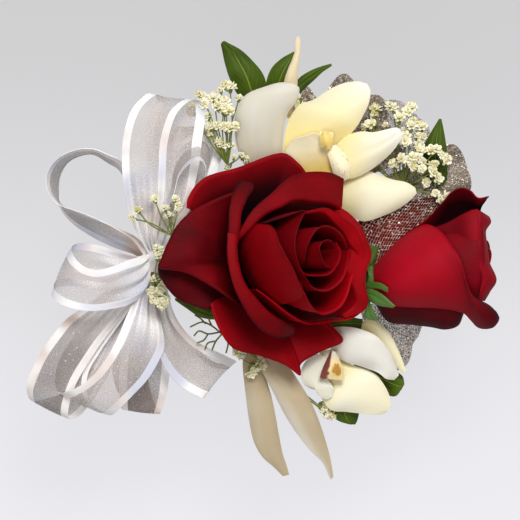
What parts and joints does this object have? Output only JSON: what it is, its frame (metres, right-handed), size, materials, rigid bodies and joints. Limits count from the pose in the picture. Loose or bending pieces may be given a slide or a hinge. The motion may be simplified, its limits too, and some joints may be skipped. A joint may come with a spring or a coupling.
{
  "type": "wrist corsage",
  "caption": "Wrist corsage of red roses, cream orchids, leaves, filler blossom, glitter net and a sheer ribbon bow on an elastic wristlet.",
  "frame": {"origin": "middle of the keeper plate's underside, which lies on the back of the wrist", "axes": "+Z away from the back of the wrist, +X along the arm from the bow to the half-open rose, +Y across the wrist"},
  "size_m": [0.1355, 0.1282, 0.0945],
  "materials": {
    "plate_steel": "thin stamped steel, lightly brushed",
    "elastic": "white knitted elastic webbing",
    "stem_tape": "waxed green crepe tape",
    "calyx_green": "fresh green hip, sepals and stem",
    "rose_red": "fresh velvety petal, deep red",
    "orchid_cream": "fresh waxy petal, cream white",
    "orchid_lip": "fresh waxy lip, cream with yellow and red-brown marks",
    "leaf_green": "fresh glossy leaf",
    "blossom": "ivory filler blossom on thin green stems",
    "ribbon": "sheer white ribbon with satin edges",
    "glitter_net": "fine silver-bronze glitter mesh"
  },
  "bodies": {
    "corsage": {"keeper_plate": "plate_steel", "band_front_end": "elastic", "band_back_end": "elastic", "band_front_web": "elastic", "band_back_web": "elastic", "stem_bundle": "stem_tape", "main_rose_calyx": "calyx_green", "main_rose_heart": "rose_red", "main_rose_petal_inner_left": "rose_red", "main_rose_petal_inner_upper": "rose_red", "main_rose_petal_inner_lower": "rose_red", "main_rose_petal_middle_right": "rose_red", "main_rose_petal_middle_upper": "rose_red", "main_rose_petal_middle_left": "rose_red", "main_rose_petal_middle_low_left": "rose_red", "main_rose_petal_middle_lower": "rose_red", "main_rose_petal_outer_upper": "rose_red", "main_rose_petal_outer_left": "rose_red", "main_rose_petal_outer_low_left": "rose_red", "main_rose_petal_outer_lower": "rose_red", "side_rose_calyx": "calyx_green", "side_rose_heart": "rose_red", "side_rose_petal_inner": "rose_red", "side_rose_petal_front": "rose_red", "side_rose_petal_upper": "rose_red", "side_rose_petal_lower": "rose_red", "upper_orchid_column": "orchid_lip", "upper_orchid_lip": "orchid_lip", "upper_orchid_tepal_tall": "orchid_cream", "upper_orchid_tepal_right": "orchid_cream", "upper_orchid_tepal_low_right": "orchid_cream", "upper_orchid_tepal_left": "orchid_cream", "upper_orchid_tepal_narrow": "orchid_cream", "lower_orchid_column": "orchid_lip", "lower_orchid_lip": "orchid_lip", "lower_orchid_tepal_white": "orchid_cream", "lower_orchid_tepal_round": "orchid_cream", "lower_orchid_tepal_long_right": "orchid_cream", "lower_orchid_tepal_long_left": "orchid_cream", "lower_orchid_tepal_behind": "orchid_cream", "upper_leaf_sprig": "leaf_green", "right_leaf_sprig": "leaf_green", "lower_leaf_sprig": "leaf_green", "bow_knot": "ribbon", "bow_loop_side": "ribbon", "bow_loop_left": "ribbon", "bow_loop_tall": "ribbon", "bow_loop_lower": "ribbon", "bow_loop_low_left": "ribbon", "bow_loop_low_right": "ribbon", "bow_loop_tall_right": "ribbon", "bow_loop_small": "ribbon", "filler_sprig_upper": "blossom", "filler_sprig_right": "blossom", "filler_sprig_left": "blossom", "filler_sprig_lower": "blossom", "net_upper": "glitter_net", "net_right": "glitter_net", "net_lower": "glitter_net"},
    "palm_band": {"band_palm": "elastic"}
  },
  "joints": [
    {"name": "band_stretch", "type": "slide", "parent": "corsage", "child": "palm_band", "axis": [0, 0, -1], "range_m": [0, 0.022], "stiffness_N_per_m": 120, "deforming": ["band_front_web", "band_back_web"]}
  ]
}
